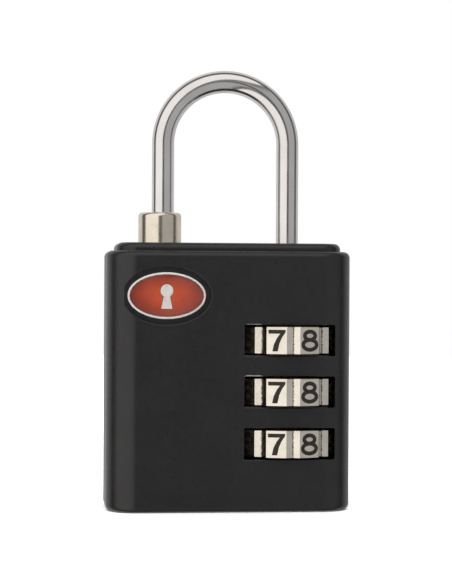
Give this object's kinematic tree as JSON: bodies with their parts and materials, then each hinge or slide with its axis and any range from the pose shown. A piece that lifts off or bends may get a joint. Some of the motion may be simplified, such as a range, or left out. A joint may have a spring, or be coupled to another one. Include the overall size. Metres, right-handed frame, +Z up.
{
  "type": "luggage combination padlock",
  "caption": "Small luggage padlock with a dark rounded body, a steel shackle, number wheels in front windows, a round collar on the short leg and a keyhole in the base.",
  "frame": {"origin": "middle of the body's flat bottom face, halfway between its front and back faces", "axes": "+Z up along the shackle legs, -Y to the front where the wheels show, +X to the wheel side"},
  "size_m": [0.033, 0.0155, 0.0594],
  "materials": {
    "body_paint": "satin dark grey lacquer on cast metal",
    "shackle_chrome": "polished chrome plate",
    "collar_nickel": "polished nickel plate, slightly warm",
    "wheel_nickel": "nickel plate with dark filled numbers",
    "badge_metal": "polished metal",
    "badge_enamel": "glossy red enamel",
    "inner_steel": "plain stamped steel",
    "spring_steel": "spring steel",
    "inner_brass": "plain machined brass"
  },
  "bodies": {
    "lock_body": {"front_case": "body_paint", "back_case": "body_paint", "case_rivet_left": "body_paint", "case_rivet_middle": "body_paint", "case_rivet_right": "body_paint", "top_cap": "body_paint", "shackle_collar": "collar_nickel", "cap_screw": "inner_steel", "inner_frame": "inner_steel", "spacer_lower": "inner_steel", "spacer_upper": "inner_steel", "spacer_top": "inner_steel", "detent_spring_top": "spring_steel", "detent_spring_middle": "spring_steel", "detent_spring_bottom": "spring_steel", "shackle_spring": "spring_steel", "release_spring": "spring_steel", "cylinder_housing": "inner_brass", "badge_plate": "badge_metal", "badge_enamel": "badge_enamel"},
    "shackle": {"shackle": "shackle_chrome"},
    "dial_top": {"dial_top": "wheel_nickel", "sleeve_top": "inner_brass"},
    "dial_middle": {"dial_middle": "wheel_nickel", "sleeve_middle": "inner_brass"},
    "dial_bottom": {"dial_bottom": "wheel_nickel", "sleeve_bottom": "inner_brass"},
    "key_plug": {"key_plug": "inner_brass", "key_cam": "inner_steel", "cam_screw": "inner_steel"},
    "release_plate": {"release_plate": "inner_steel"},
    "wafer_1": {"wafer_1": "inner_brass"},
    "wafer_2": {"wafer_2": "inner_brass"},
    "wafer_3": {"wafer_3": "inner_brass"},
    "wafer_4": {"wafer_4": "inner_brass"}
  },
  "joints": [
    {"name": "shackle_lift", "type": "slide", "parent": "lock_body", "child": "shackle", "axis": [0, 0, 1], "range_m": [0, 0.0069], "deforming": ["shackle_spring"]},
    {"name": "dial_top_spin", "type": "hinge", "parent": "lock_body", "child": "dial_top", "pos_m": [0.0082, -0.0011, 0.0229], "axis": [0, 0, 1], "continuous": true},
    {"name": "dial_middle_spin", "type": "hinge", "parent": "lock_body", "child": "dial_middle", "pos_m": [0.0082, -0.0011, 0.016], "axis": [0, 0, 1], "continuous": true},
    {"name": "dial_bottom_spin", "type": "hinge", "parent": "lock_body", "child": "dial_bottom", "pos_m": [0.0082, -0.0011, 0.0091], "axis": [0, 0, 1], "continuous": true},
    {"name": "key_turn", "type": "hinge", "parent": "lock_body", "child": "key_plug", "pos_m": [-0.0085, 0, 0.006], "axis": [0, 0, 1], "range_deg": [0, 90]},
    {"name": "release_slide", "type": "slide", "parent": "lock_body", "child": "release_plate", "axis": [-1, 0, 0], "range_m": [0, 0.00297], "deforming": ["release_spring"]},
    {"name": "wafer_1_slide", "type": "slide", "parent": "key_plug", "child": "wafer_1", "axis": [0, 1, 0], "range_m": [0, 0.0005]},
    {"name": "wafer_2_slide", "type": "slide", "parent": "key_plug", "child": "wafer_2", "axis": [0, 1, 0], "range_m": [0, 0.0005]},
    {"name": "wafer_3_slide", "type": "slide", "parent": "key_plug", "child": "wafer_3", "axis": [0, 1, 0], "range_m": [0, 0.0005]},
    {"name": "wafer_4_slide", "type": "slide", "parent": "key_plug", "child": "wafer_4", "axis": [0, 1, 0], "range_m": [0, 0.0005]}
  ],
  "couplings": [
    {"joint": "key_turn", "follows": "release_slide", "rad_per_m": 528.8},
    {"joint": "wafer_2_slide", "follows": "wafer_1_slide", "ratio": 1},
    {"joint": "wafer_3_slide", "follows": "wafer_1_slide", "ratio": 1},
    {"joint": "wafer_4_slide", "follows": "wafer_1_slide", "ratio": 1}
  ]
}
